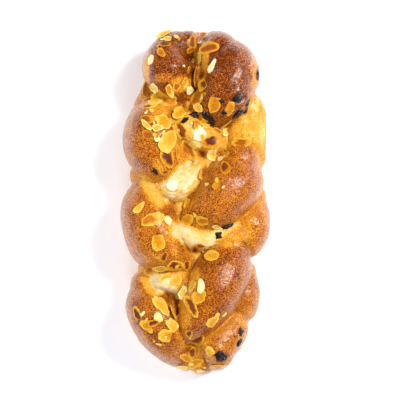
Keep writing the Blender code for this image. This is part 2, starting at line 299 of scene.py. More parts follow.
FLAKES = tuple(Flake(*row) for row in (
    (-25, 133.5, 15, 6, 25, 0.14, 0.3, 0.0, 20), (-22, 128.5, 8, 5.5, -20, 0.2, 0.35),
    (-15, 131, 5.5, 4, 40, 0.2), (-24.5, 124, 10.5, 6, -30, 0.62, 1.0),
    (-3, 128, 12, 7, 70, 0.52, 0.88, -0.2), (-4, 121.5, 9, 5, 0, 0.46, 0.7),
    (11, 121.5, 18, 10, -5, 0.46, 0.76), (-27, 117, 10, 5.5, -60, 0.46, 0.62),
    (-35, 112, 9, 6.5, 110, 0.06), (3, 115, 9, 4.5, 85, 0.24), (13, 107, 12, 5.5, 55, 0.02),
    (-6, 105, 6, 4, 90, 0.36, 0.7), (-2, 99.5, 17, 7, 80, 0.34, 0.66, 0.0, 50),
    (-10, 97, 8, 4.5, 45, 0.34, 0.4, 0.0, 30), (-8, 92.5, 6, 3.5, 40, 0.24),
    (-33.5, 92, 11, 7, 115, 0.12, 0.22, 0.0, 20), (-38.5, 91, 15, 4.5, 60, 0.6, 0.66, 0.0, 50),
    (-21, 90, 16, 6.5, 105, 0.22, 0.5, 0.0, 50), (-15.5, 92.5, 9.5, 6.5, 90, 0.34, 0.66, -0.3),
    (-25, 82, 21, 12, -15, 0.38, 0.52, 0.2), (-32, 79, 12, 7, 20, 0.2, 0.3),
    (-36, 75.5, 12, 7, 30, 0.26, 0.74, -0.55), (6.5, 93.5, 15, 8.5, 25, 0.42, 0.98, 0.2),
    (-5.5, 89, 8.5, 6.5, 0, 0.04), (2, 84, 15, 13, 60, 0.42, 0.64, -0.1),
    (4, 74, 14, 7, -15, 0.22, 0.3, 0.0, 25), (15, 79, 18, 9.5, 75, 0.46, 0.56, -0.3),
    (26.5, 74, 13, 7, 80, 0.44, 0.52), (-11.5, 70.5, 15, 9, 35, 0.3, 0.44, 0.0, 25),
    (-36, 65, 15, 7, 5, 0.44, 0.72, -0.6), (-25, 64, 18, 13, 40, 0.26, 0.4, -0.2),
    (-38, 60, 12, 5, -45, 0.14, 0.3, 0.0, 45), (-30, 58, 9, 6, 10, 0.16, 0.4),
    (-35.5, 52.5, 13, 7, -15, 0.6, 0.72, -0.3), (-29.5, 50, 6, 5, 40, 0.12),
    (-22, 48, 22, 12.5, 45, 0.3, 0.38, 0.2), (-11.5, 56, 17, 9, -58, 0.36, 0.8, -0.05),
    (0, 62.5, 11, 5, 85, 0.42, 0.56, 0.0, 40), (6.5, 64.5, 8, 5.5, 60, 0.4),
    (9, 60, 10, 3.5, 5, 0.28, 0.34, 0.0, 35), (2.8, 54.5, 12, 9.5, 85, 0.02),
    (12, 48.5, 17, 9.5, 15, 0.48, 1.0, 0.0), (-1.5, 46.5, 10, 6.5, 60, 0.2), (4, 45, 9, 6, -60, 0.12),
    (24, 62.5, 13, 3.5, 50, 0.36, 0.46, 0.0, 45), (18, 56, 13, 3.5, -20, 0.44, 0.6, 0.0, 50),
    (24.5, 55.7, 7, 5.5, 20, 0.14, 0.28, 0.0, 20), (25.5, 45.7, 9.5, 7, 120, 0.4, 0.48),
    (36.5, 47.5, 16, 7.5, 3, 0.36, 0.66, -0.1), (14.5, 37.5, 11.5, 9, -10, 0.12, 0.24),
    (20.5, 35, 7, 5, 20, 0.1), (24, 37.5, 6.5, 5, 30, 0.44), (-22.5, 35, 18, 10.5, -65, 0.48, 0.98, 0.0),
    (-15, 40, 12, 7, 80, 0.4, 0.56, 0.0, 20), (-6.5, 41, 19, 10, -50, 0.4, 0.64, -0.1),
    (23, 27, 15, 7.5, 105, 0.54, 0.92, 0.2), (6.5, 24, 17, 6.5, 72, 0.36, 0.66, 0.0, 45),
    (16, 14, 8, 5, 60, 0.48), (-18, 15, 12, 8.5, 70, 0.0), (-24, 24, 7, 4, 10, 0.5, 0.8),
    (-6, 0.5, 14, 4.5, 70, 0.34, 0.46, 0.0, 45), (-44, -4, 12, 5.5, 55, 0.24, 0.34),
    (-33, -13, 19, 10, 20, 0.34, 0.58, -0.4), (-21, -15, 10, 7.5, -20, 0.04),
    (-6, -13.5, 12, 9, 30, 0.36, 0.48), (6, -14, 12, 9, 10, 0.38, 0.6),
    (17, -19, 9, 5, -35, 0.14, 0.3, 0.0, 20), (4, -34, 6.5, 5, 0, 0.6, 0.8),
    (13, -42, 14, 10, -40, 0.3, 0.42, 0.2), (-29.5, -30, 16, 10, 95, 0.36, 0.5, 0.1),
    (-25, -42, 9, 5.5, 60, 0.56, 0.96), (-16, -49.5, 16, 10, -20, 0.4, 0.94, 0.0),
    (-7.5, -48.5, 11, 7, 110, 0.44, 0.92, 0.0), (-28, -52, 13, 7, 25, 0.24, 0.36),
    (-22, -58, 15, 6, 20, 0.26, 0.38, 0.0, 35), (-15, -61, 10, 7, 60, 0.3, 0.42),
    (-2, -64.5, 12, 7.5, 65, 0.26, 0.38), (4.5, -65, 12, 6.5, 100, 0.08),
    (-9, -71, 12, 7, 60, 0.12, 0.24, 0.0, 25), (3, -73, 13, 10, 20, 0.38, 0.48),
    (-3, -81.5, 20, 8.5, -48, 0.4, 0.88, 0.0), (-14, -85, 12, 6, 70, 0.46, 0.9),
    (-27, -81.5, 19, 9.5, -60, 0.26, 0.36, 0.2), (-20, -85, 15, 6.5, 95, 0.3, 0.46, 0.0, 40),
    (-45, -89, 15, 7.5, -60, 0.36, 0.98, -0.1), (-38, -97, 13, 7, -50, 0.34, 0.44),
    (-29, -91, 10, 6.5, -60, 0.12), (-33, -94, 9, 5.5, 20, 0.5, 0.96), (-18, -97, 15, 8, -45, 0.22, 0.34),
    (-22, -104.5, 18, 9.5, -15, 0.32, 0.5, 0.2), (13, -92.5, 12, 9.5, 40, 0.3, 0.44),
    (17, -87, 7, 4, 40, 0.26), (-5, -102, 9, 6, 60, 0.48, 0.92), (1.5, -108, 14, 10.5, 65, 0.44, 0.96, 0.0),
    (-28, -111, 8, 3.5, -20, 0.16, 0.24, 0.0, 40), (12, -118.5, 11, 7.5, -60, 0.26, 0.38),
    (-3, -119.5, 10, 6, 70, 0.48, 0.9), (-8, -123.5, 12, 6, -30, 0.4, 0.56, 0.0, 25),
    (0, -128, 14, 7, 30, 0.36, 0.52), (-9, -132, 14, 6.5, -20, 0.14, 0.22), (4, -134.5, 7, 4, 10, 0.12),
    (17, -129, 13, 5.5, 15, 0.34, 0.44, 0.0, 20),
))

RAISINS = tuple(Raisin(f"raisin_{number:02d}", *row) for number, row in enumerate((
    (48.5, 101, 10, 6, 85), (32.5, 81.5, 10, 7, 25), (33, 70, 11, 7, 60), (40, 78, 9, 5, 60),
    (-2, 69, 13, 6, 15), (10, 67, 12, 7, -55), (-32, 24, 8, 5, -65), (25, -18, 13, 7, 40),
    (17.5, -25.5, 8, 6, 20), (35.5, -103, 8, 7, 80), (34, -111.5, 9, 6, 75), (20, -122, 12, 8, -40),
), 1))

# Scraps of raisin that only the finished crust shows, so that they have no node.
SCRAPS = tuple(Raisin(f"scrap_{number}", *row) for number, row in enumerate((
    (22.5, 70.5, 5, 4.5, 80), (20, 79, 4.5, 4, 0), (39.5, 72.5, 6, 3, 70), (-8.5, 65, 7, 3.5, 32),
    (13, 62.5, 6, 4, -60),
), 1))


def linear(colour: str) -> tuple[float, float, float, float]:
    """Turns an sRGB hex colour into the linear colour that a shader takes.

    Args:
        colour: The colour as six hex digits after a #.

    Returns:
        Its red, green, blue and alpha.
    """
    parts = [int(colour[i : i + 2], 16) / 255 for i in (1, 3, 5)]
    red, green, blue = (p / 12.92 if p <= 0.04045 else ((p + 0.055) / 1.055) ** 2.4 for p in parts)
    return red, green, blue, 1.0


def per_mm(millimetres: float) -> float:
    """The texture scale that repeats a pattern at this size in millimetres."""
    return 1 / (millimetres * MM)


def connect(
    material: bpy.types.Material | bpy.types.World,
    node: bpy.types.Node,
    links: dict[str | int, object],
) -> None:
    """Sets or links a node's inputs.

    Args:
        material: The material, or the room, that holds the node.
        node: The node.
        links: For each input, by name or number, a value or the output socket to link.
    """
    for name, value in links.items():
        if isinstance(value, bpy.types.NodeSocket):
            material.node_tree.links.new(value, node.inputs[name])
        else:
            node.inputs[name].default_value = value


def add_node(
    material: bpy.types.Material | bpy.types.World,
    kind: str,
    settings: dict[str, object] | None = None,
    links: dict[str | int, object] | None = None,
) -> bpy.types.Node:
    """Adds one shader node with its settings, values and links.

    Args:
        material: The material, or the room, that gets the node.
        kind: The node's type, such as ShaderNodeTexNoise.
        settings: Values for the node's own properties, by name.
        links: Values and links for its inputs, as connect takes them.

    Returns:
        The new node.
    """
    node = material.node_tree.nodes.new(kind)
    for name, value in (settings or {}).items():
        setattr(node, name, value)
    connect(material, node, links or {})
    return node


def fill_ramp(node: bpy.types.Node, stops: Sequence[tuple[float, str]]) -> None:
    """Sets the stops of a colour ramp.

    Args:
        node: The colour ramp node.
        stops: Each stop's place and its sRGB hex colour, in order.
    """
    elements = node.color_ramp.elements
    while len(elements) > 1:
        elements.remove(elements[-1])
    elements[0].position = stops[0][0]
    elements[0].color = linear(stops[0][1])
    for place, colour in stops[1:]:
        elements.new(place).color = linear(colour)


def new_material(name: str) -> tuple[bpy.types.Material, bpy.types.Node]:
    """Makes a material and gives it with its shader node."""
    material = bpy.data.materials.new(name)
    material.use_nodes = True
    return material, material.node_tree.nodes["Principled BSDF"]


@dataclass(frozen=True)
class BakedCrust:
    """Egg-washed crust of a rich yeast dough, baked golden to dark brown.

    The wash dries to a thin glossy film over a skin full of fine blisters, so the
    eye sees soft highlights that break up into glints. Pulled dough has no wash: it
    is matt, cream coloured and fibrous. The underside is a matt even brown.

    Attributes:
        tones: The crust's colour from raw to dark, by how brown it is.
        blister_mm: How far apart the blisters lie, as on a real crust, 0.5 to 1 mm.
        fine_mm: The size of the finest roughness.
        mottle_mm: The size of the clouds in the browning.
        pore_mm: How far apart the dark pores lie.
        fibre_mm: The size of the fluff on pulled dough.
        base_tone: The underside's colour.
        base_dark: The darker blotches of the underside.
    """

    tones: tuple[tuple[float, str], ...] = (
        (0.00, "#D9C79E"),
        (0.12, "#DBB568"),
        (0.25, "#D59C2E"),
        (0.38, "#CC8E1E"),
        (0.50, "#C07617"),
        (0.62, "#B26416"),
        (0.75, "#9A4D0E"),
        (0.87, "#7E3804"),
        (1.00, "#4B1C03"),
    )
    blister_mm: float = 0.88
    fine_mm: float = 0.7
    mottle_mm: float = 9.0
    pore_mm: float = 4.5
    fibre_mm: float = 2.6
    base_tone: str = "#B4743A"
    base_dark: str = "#8A4F22"

    def material(self) -> bpy.types.Material:
        """Builds the crust's material.

        Returns:
            The material, which reads the attributes bake and torn.
        """
        material, shader = new_material("egg_washed_crust")
        place = add_node(material, "ShaderNodeTexCoord").outputs["Object"]
        height = add_node(material, "ShaderNodeSeparateXYZ", {}, {"Vector": place}).outputs["Z"]
        bake, torn = (
            add_node(material, "ShaderNodeAttribute", {"attribute_name": name}).outputs["Fac"]
            for name in ("bake", "torn")
        )
        mottle, blister, fine, fibre = (
            add_node(material, "ShaderNodeTexNoise", {}, {
                "Vector": place, "Scale": per_mm(size), "Detail": detail, "Roughness": roughness,
            }).outputs["Fac"]
            for size, detail, roughness in (
                (self.mottle_mm, 3.0, 0.6), (self.blister_mm, 1.0, 0.5), (self.fine_mm, 1.0, 0.5),
                (self.fibre_mm, 4.0, 0.7),
            )
        )
        pores = add_node(material, "ShaderNodeTexVoronoi", {}, {
            "Vector": place, "Scale": per_mm(self.pore_mm), "Randomness": 1.0,
        }).outputs["Distance"]

        # What each effect follows, from where to where, and how strong it is at both ends.
        ranges = {
            "cloud": (mottle, 0.3, 0.7, -0.09, 0.09),
            "speck": (blister, 0.3, 0.7, -0.27, 0.41),
            "speck_size": (bake, 0.15, 0.55, 0.32, 1.0),
            "pore": (pores, 0.07, 0.16, 0.22, 0.0),
            "under": (height, 0.2 * MM, 1.6 * MM, 1.0, 0.0),
            "roughness": (bake, 0.15, 0.6, 0.6, 0.36),
            "wash": (bake, 0.2, 0.55, 0.05, 0.78),
            "peaks": (fine, 0.61, 0.75, 0.0, 1.0),
        }
        effect = {
            name: add_node(material, "ShaderNodeMapRange", {}, dict(zip(RANGE_INPUTS, values))).outputs[0]
            for name, values in ranges.items()
        }
        specks, pulled = (
            add_node(material, "ShaderNodeMath", {"operation": "MULTIPLY"}, {0: one, 1: other}).outputs[0]
            for one, other in ((effect["speck"], effect["speck_size"]), (fibre, torn))
        )
        tone = bake
        for part, clamped in ((effect["cloud"], False), (specks, False), (effect["pore"], True)):
            tone = add_node(material, "ShaderNodeMath", {"operation": "ADD", "use_clamp": clamped}, {
                0: tone, 1: part,
            }).outputs["Value"]
        ramp = add_node(material, "ShaderNodeValToRGB", {}, {"Fac": tone})
        fill_ramp(ramp, self.tones)
        blotch = add_node(material, "ShaderNodeValToRGB", {}, {"Fac": mottle})
        fill_ramp(blotch, ((0.35, self.base_dark), (0.65, self.base_tone)))
        skin = add_node(material, "ShaderNodeMix", {"data_type": "RGBA"}, {
            "Factor": effect["under"], 6: ramp.outputs["Color"], 7: blotch.outputs["Color"],
        })
        rough = add_node(material, "ShaderNodeMath", {"operation": "MAXIMUM", "use_clamp": True}, {
            0: effect["roughness"], 1: effect["under"],
        })

        # The blisters, the finest peaks and the fluff shape the skin. The film of wash
        # dries over them and follows the blisters once more.
        relief = {}
        normal = {}
        for name, strength, deep_mm, bumps in (
            ("blisters", 0.5, 0.34, blister), ("peaks", 0.7, 0.24, effect["peaks"]),
            ("fluff", 0.8, 1.6, pulled), ("film", 0.8, 0.13, blister),
        ):
            relief[name] = add_node(material, "ShaderNodeBump", {}, {
                "Strength": strength, "Distance": deep_mm * MM, "Height": bumps, **normal,
            }).outputs["Normal"]
            normal = {"Normal": relief[name]}
        connect(material, shader, {
            "Base Color": skin.outputs[2], "Roughness": rough.outputs["Value"], "Normal": relief["fluff"],
            "IOR": 1.5, "Specular IOR Level": 0.1, "Coat Weight": effect["wash"],
            "Coat Normal": relief["film"], "Coat Roughness": 0.13, "Subsurface Weight": 0.05,
            "Subsurface Radius": (1.0, 0.45, 0.2), "Subsurface Scale": 2 * MM,
        })
        return material


@dataclass(frozen=True)
class ToastedAlmond:
    """Blanched almond sliced about 1 mm thick and toasted on the crust.

    The cut face is matt and waxy. It browns from its thin middle outwards, so the
    eye sees a golden or brown heart inside a paler rim.

    Attributes:
        tones: The flake's colour from raw to dark, by how toasted it is.
        grain_mm: The size of the cut face's grain.
    """

    tones: tuple[tuple[float, str], ...] = (
        (0.00, "#E8DAB2"),
        (0.15, "#DDBE62"),
        (0.32, "#D29C22"),
        (0.48, "#BE7A12"),
        (0.64, "#A0560F"),
        (0.80, "#803C18"),
        (1.00, "#58291C"),
    )
    grain_mm: float = 1.6

    def material(self) -> bpy.types.Material:
        """Builds the almond's material.

        Returns:
            The material, which reads the attribute toast.
        """
        material, shader = new_material("toasted_almond")
        place = add_node(material, "ShaderNodeTexCoord").outputs["Object"]
        toast = add_node(material, "ShaderNodeAttribute", {"attribute_name": "toast"}).outputs["Fac"]
        grain = add_node(material, "ShaderNodeTexNoise", {}, {
            "Vector": place, "Scale": per_mm(self.grain_mm), "Detail": 3.0, "Roughness": 0.6,
        }).outputs["Fac"]
        vary = add_node(material, "ShaderNodeMapRange", {}, {
            "Value": grain, "From Min": 0.3, "From Max": 0.7, "To Min": -0.07, "To Max": 0.07,
        }).outputs["Result"]
        tone = add_node(material, "ShaderNodeMath", {"operation": "ADD", "use_clamp": True}, {
            0: toast, 1: vary,
        }).outputs["Value"]
        ramp = add_node(material, "ShaderNodeValToRGB", {}, {"Fac": tone})
        fill_ramp(ramp, self.tones)
        bump = add_node(material, "ShaderNodeBump", {}, {
            "Strength": 0.4, "Distance": 0.2 * MM, "Height": grain,
        })
        connect(material, shader, {
            "Base Color": ramp.outputs["Color"], "Normal": bump.outputs["Normal"], "Roughness": 0.4,
            "IOR": 1.47, "Specular IOR Level": 0.22, "Subsurface Weight": 0.12,
            "Subsurface Radius": (1.0, 0.7, 0.3), "Subsurface Scale": 1 * MM,
        })
        return material


@dataclass(frozen=True)
class RaisinSkin:
    """Shrivelled raisin skin, scorched where it stood out of the dough.

    It is nearly black with a purple-brown cast, and its wrinkles catch small hard
    glints.

    Attributes:
        dark: The colour of the folds.
        light: The colour of the ridges.
        wrinkle_mm: How far apart the finest wrinkles lie.
    """

    dark: str = "#040303"
    light: str = "#1C1110"
    wrinkle_mm: float = 1.5

    def material(self) -> bpy.types.Material:
        """Builds the raisin's material and returns it."""
        material, shader = new_material("raisin_skin")
        place = add_node(material, "ShaderNodeTexCoord").outputs["Object"]
        folds = add_node(material, "ShaderNodeTexNoise", {"noise_type": "RIDGED_MULTIFRACTAL"}, {
            "Vector": place, "Scale": per_mm(self.wrinkle_mm), "Detail": 2.0,
        }).outputs["Fac"]
        ramp = add_node(material, "ShaderNodeValToRGB", {}, {"Fac": folds})
        fill_ramp(ramp, ((0.2, self.light), (0.8, self.dark)))
        bump = add_node(material, "ShaderNodeBump", {"invert": True}, {
            "Strength": 0.6, "Distance": 0.3 * MM, "Height": folds,
        })
        connect(material, shader, {
            "Base Color": ramp.outputs["Color"], "Normal": bump.outputs["Normal"], "Roughness": 0.35,
            "Specular IOR Level": 0.2, "Coat Weight": 0.5, "Coat Roughness": 0.12,
        })
        return material


@dataclass(frozen=True)
class StudioPaper:
    """White background paper, matt and even."""

    colour: str = "#FFFFFF"

    def material(self) -> bpy.types.Material:
        """Builds the paper's material and returns it."""
        material, shader = new_material("background_paper")
        connect(material, shader, {
            "Base Color": linear(self.colour), "Roughness": 0.9, "Specular IOR Level": 0.1,
        })
        return material


def smooth_step(values: np.ndarray, low: float, high: float) -> np.ndarray:
    """Rises smoothly from 0 at low to 1 at high.

    Args:
        values: The values to map.
        low: Where the result is 0.
        high: Where the result is 1. It may be under low.

    Returns:
        One number from 0 to 1 for each value.
    """
    share = np.clip((values - low) / (high - low), 0, 1)
    return share * share * (3 - 2 * share)


def noise_at(points: np.ndarray, size_mm: float, seed: float) -> np.ndarray:
    """Smooth noise from about -1 to 1.

    Args:
        points: The places, in mm, one a row.
        size_mm: The size of its bumps.
        seed: Moves the pattern, so that two seeds give two patterns.

    Returns:
        One number for each place.
    """
    scaled = points / size_mm + seed
    return np.fromiter((noise.noise(Vector(p)) for p in scaled), float, len(points))


def inside(oval: Oval, points: np.ndarray) -> tuple[np.ndarray, np.ndarray]:
    """How far inside an oval each place lies, seen from above.

    Args:
        oval: The oval.
        points: The places, in mm.

    Returns:
        The distance from its middle, where 1 is its edge, and the distance across it in mm.
    """
    turn = math.radians(oval.turn)
    dx, dy = points[:, 0] - oval.x, points[:, 1] - oval.y
    along = dx * math.cos(turn) + dy * math.sin(turn)
    across = dy * math.cos(turn) - dx * math.sin(turn)
    return np.hypot(along / oval.reach, across / oval.breadth), across


def to_mesh(name: str, bm: bmesh.types.BMesh) -> bpy.types.Mesh:
    """Makes a mesh from a bmesh, which is freed, and returns it."""
    mesh = bpy.data.meshes.new(name)
    bm.to_mesh(mesh)
    bm.free()
    return mesh


def take_in(bm: bmesh.types.BMesh, mesh: bpy.types.Mesh) -> None:
    """Adds a mesh to a bmesh and removes the mesh."""
    bm.from_mesh(mesh)
    bpy.data.meshes.remove(mesh)


def make_object(name: str, bm: bmesh.types.BMesh) -> bpy.types.Object:
    """Makes an object from a bmesh, which is freed, and returns it."""
    obj = bpy.data.objects.new(name, to_mesh(name, bm))
    bpy.context.scene.collection.objects.link(obj)
    return obj


def store(mesh: bpy.types.Mesh, name: str, values: np.ndarray) -> None:
    """Keeps one number for each point of a mesh as a named attribute."""
    attribute = mesh.attributes.new(name, "FLOAT", "POINT")
    attribute.data.foreach_set("value", values.astype(np.float32))


def read_rows(mesh: bpy.types.Mesh, kind: str) -> np.ndarray:
    """The co or the normal of each of a mesh's points, one a row."""
    flat = np.empty(len(mesh.vertices) * 3, np.float32)
    mesh.vertices.foreach_get(kind, flat)
    return flat.reshape(-1, 3).astype(float)


def seat(place: Vector, normal: Vector, turn: float, stand: float = 0.0) -> Matrix:
    """The matrix that lays a piece on a surface point.

    Args:
        place: The surface point.
        normal: The surface's direction there.
        turn: The turn about the normal, in degrees from +X.
        stand: How far the piece stands up on its long edge, in degrees.

    Returns:
        The matrix from the piece's own frame to the drawing.
    """
    forward = Vector((math.cos(math.radians(turn)), math.sin(math.radians(turn)), 0))
    side = normal.cross(forward).normalized()
    forward = side.cross(normal)
    axes = Matrix((forward, side, normal)).transposed().to_4x4()
    return Matrix.Translation(place) @ axes @ Matrix.Rotation(math.radians(stand), 4, "X")


@dataclass
class Plait:
    """The loaf itself, from its strands to its finished crust.

    Attributes:
        strands: The passes that it is made of.
        grid_mm: The grid that the dough grows together on.
        sides: Points round a strand.
        rings: Rings along a strand.
        end_rings: How many of these round off each end.
        roundness: The power of a strand's rounded outline, where 2 is an ellipse.
        widest_mm: The height where a tall strand is widest.
        foot_depth: How deep the foot's curve is against the widest height.
        foot_lean_mm: How far a strand's foot leans towards the broad end.
        lean_within_mm: Where along the loaf the lean has faded out.
        cut_mm: How far below the base the strands are drawn before the cut.
        browned_mm: How far from a fold the crust has its crest's browning.
        crease_mm: How wide the crease along a fold is.
        crease_depth_mm: How deep that crease is.
        fibre_depth_mm: How high the fibres of pulled dough are.
        wrinkle_mm: How far apart the wrinkles of the skin lie.
        wrinkle_depth_mm: How high they are.
        bead_mm: How high the dough swells round a raisin.
        hollow_painted_shade: How brown the deep places are painted, a painted shade for the shadow that
            falls in them.
        hollow_torn: How fibrous they are.
    """

    strands: Sequence[Strand] = STRANDS
    grid_mm: float = 1.04
    sides: int = 40
    rings: int = 56
    end_rings: int = 8
    roundness: float = 2.3
    widest_mm: float = 30.0
    foot_depth: float = 1.17
    foot_lean_mm: float = 7.0
    lean_within_mm: float = 120.0
    cut_mm: float = 4.0
    browned_mm: float = 6.5
    crease_mm: float = 1.5
    crease_depth_mm: float = 1.3
    fibre_depth_mm: float = 1.05
    wrinkle_mm: float = 4.6
    wrinkle_depth_mm: float = 0.15
    bead_mm: float = 0.8
    hollow_painted_shade: float = 0.62
    hollow_torn: float = 0.5

    def on_route(self, strand: Strand, share: float) -> Vector:
        """The point at share, from 0 to 1, of a smooth curve through a strand's route."""
        spans = len(strand.route) - 1
        place = min(share * spans, spans - 1e-6)
        i = int(place)
        t = place - i
        b, c = Vector(strand.route[i]), Vector(strand.route[i + 1])
        a = Vector(strand.route[i - 1]) if i else 2 * b - c
        d = Vector(strand.route[i + 2]) if i + 2 <= spans else 2 * c - b
        squared, cubed = 2 * a - 5 * b + 4 * c - d, 3 * b - a - 3 * c + d
        return 0.5 * (2 * b + (c - a) * t + squared * t**2 + cubed * t**3)

    def rounded(self, value: float) -> float:
        """Bends a cosine or a sine into the strand's outline, which is fuller than an ellipse."""
        return math.copysign(abs(value) ** (2 / self.roundness), value)

    def ball(self, strand: Strand) -> bpy.types.Mesh:
        """Draws out one ball of dough along its route.

        Args:
            strand: The strand.

        Returns:
            A closed mesh.
        """
        frames = []
        for ring in range(self.rings + 1):
            if ring <= self.end_rings:
                share, tip = 0.0, -math.cos(math.pi / 2 * ring / self.end_rings)
            elif ring >= self.rings - self.end_rings:
                share, tip = 1.0, math.cos(math.pi / 2 * (self.rings - ring) / self.end_rings)
            else:
                share, tip = (ring - self.end_rings) / (self.rings - 2 * self.end_rings), 0.0
            middle = self.on_route(strand, share)
            ahead, behind = min(share + 0.01, 1.0), max(share - 0.01, 0.0)
            step = self.on_route(strand, ahead) - self.on_route(strand, behind)
            along = Vector((step[0], step[1], 0)).normalized()
            across, size = Vector((along.y, -along.x, 0)), math.sqrt(max(1 - tip * tip, 0))
            frames.append((middle, along, across, tip, size))
        bm = bmesh.new()
        bmesh.ops.create_uvsphere(bm, u_segments=self.sides, v_segments=self.rings, radius=1)
        for vert in bm.verts:
            ring = round(math.acos(max(-1.0, min(1.0, vert.co.z))) / math.pi * self.rings)
            turn = math.atan2(vert.co.y, vert.co.x)
            middle, along, across, tip, size = frames[ring]
            crest, half_width = middle[2], middle[3]
            widest = min(self.widest_mm, 0.5 * crest)
            reach = crest - widest if math.sin(turn) > 0 else self.foot_depth * widest
            rise = reach * self.rounded(math.sin(turn)) * size
            lean = self.lean(-rise / widest, middle[1])
            point = Vector((middle[0], middle[1] + lean, 0)) + along * half_width * tip
            point += across * half_width * self.rounded(math.cos(turn)) * size
            point.z = max(widest + rise, -self.cut_mm)
            vert.co = point * MM
        bmesh.ops.recalc_face_normals(bm, faces=bm.faces)
        return to_mesh(strand.name, bm)

    def lean(self, below: float, y: float) -> float:
        """How far, in mm, a strand's foot leans at a depth below its widest height."""
        return self.foot_lean_mm * max(below, 0) ** 1.5 * max(1 - (y / self.lean_within_mm) ** 2, 0)

    def grown(self) -> bpy.types.Object:
        """Grows the strands together into one smooth mass of dough with a flat base.

        Returns:
            The loaf, without its fine relief.
        """
        bm = bmesh.new()
        for strand in self.strands:
            take_in(bm, self.ball(strand))
        loaf = make_object("golden_plait", bm)
        grid = loaf.modifiers.new("grow_together", "REMESH")
        grid.mode = "VOXEL"
        grid.voxel_size = self.grid_mm * MM
        bpy.context.view_layer.update()
        graph = bpy.context.evaluated_depsgraph_get()
        loaf.data = bpy.data.meshes.new_from_object(loaf.evaluated_get(graph))
        loaf.modifiers.clear()

        bm = bmesh.new()
        bm.from_mesh(loaf.data)
        bmesh.ops.delete(bm, geom=self.loose_bits(bm), context="VERTS")
        for _ in range(2):
            bmesh.ops.smooth_vert(
                bm, verts=bm.verts, factor=0.5, use_axis_x=True, use_axis_y=True, use_axis_z=True
            )
        everything = bm.verts[:] + bm.edges[:] + bm.faces[:]
        cut = bmesh.ops.bisect_plane(
            bm, geom=everything, plane_co=(0, 0, 0), plane_no=(0, 0, -1), clear_outer=True
        )
        rim = [edge for edge in cut["geom_cut"] if isinstance(edge, bmesh.types.BMEdge)]
        bmesh.ops.holes_fill(bm, edges=rim)
        bmesh.ops.recalc_face_normals(bm, faces=bm.faces)
        bm.to_mesh(loaf.data)
        bm.free()
        return loaf

    def loose_bits(self, bm: bmesh.types.BMesh) -> list[bmesh.types.BMVert]:
        """The points of every loose piece but the largest."""
        left = set(bm.verts)
        groups = []
        while left:
            front = [left.pop()]
            group = []
            while front:
                vert = front.pop()
                group.append(vert)
                for edge in vert.link_edges:
                    other = edge.other_vert(vert)
                    if other in left:
                        left.discard(other)
                        front.append(other)
            groups.append(group)
        groups.sort(key=len)
        return [vert for group in groups[:-1] for vert in group]

    def nearness(self, strand: Strand, points: np.ndarray) -> tuple[np.ndarray, ...]:
        """How near each place is to one strand's surface.

        Args:
            strand: The strand.
            points: The places, in mm.

        Returns:
            For each place a number that is 1 on the strand's surface and more outside,
            the strand's half width there in mm, the distance along it in mm, and the
            signed distance across it in mm.
        """
        shares = np.linspace(0, 1, 41)
        path = np.array([self.on_route(strand, share) for share in shares], np.float32)
        steps = np.hypot(np.diff(path[:, 0]), np.diff(path[:, 1]))
        travelled = np.concatenate([[0], np.cumsum(steps)])
        heading = np.gradient(path[:, :2], axis=0)
        heading /= np.linalg.norm(heading, axis=1)[:, None]
        x, y, z = points.astype(np.float32).T
        dx = x[:, None] - path[:, 0]
        dy = y[:, None] - path[:, 1]
        away = np.hypot(dx, dy) / path[:, 3]
        best = away.argmin(1)
        rows = np.arange(len(points))
        side = away[rows, best]
        crest = path[best, 2]
        half_width = path[best, 3]
        widest = np.minimum(self.widest_mm, 0.5 * crest)
        reach = np.where(z > widest, crest - widest, self.foot_depth * widest)
        up = np.abs(z - widest) / reach
        near = (side**self.roundness + up**self.roundness) ** (1 / self.roundness)
        across = dx[rows, best] * heading[best, 1] - dy[rows, best] * heading[best, 0]
        return near, half_width, travelled[best], across

    def finish_crust(self, loaf: bpy.types.Object) -> None:
        """Gives the dough its relief and its browning.

        Args:
            loaf: The smooth loaf, which gets its relief and the attributes bake and torn.
        """
        mesh = loaf.data
        points = read_rows(mesh, "co") / MM
        normals = read_rows(mesh, "normal")

        near, widths, along, across = (
            np.array(rows) for rows in zip(*(self.nearness(strand, points) for strand in self.strands))
        )
        order = np.argsort(near, axis=0)
        rows = np.arange(len(points))
        owner, rival = order[0], order[1]
        fold = np.clip((near[rival, rows] - near[owner, rows]) * widths[owner, rows], 0, 30)
        kinds = np.array([strand.kind.value for strand in self.strands])[owner]
        on_top, stretched, under = (
            (kinds == kind.value).astype(float) for kind in (Dough.TOP, Dough.STRETCHED, Dough.UNDER)
        )
        crest_bake = np.array([strand.bake for strand in self.strands])[owner]
        fold_bake = np.array([strand.fold for strand in self.strands])[owner]
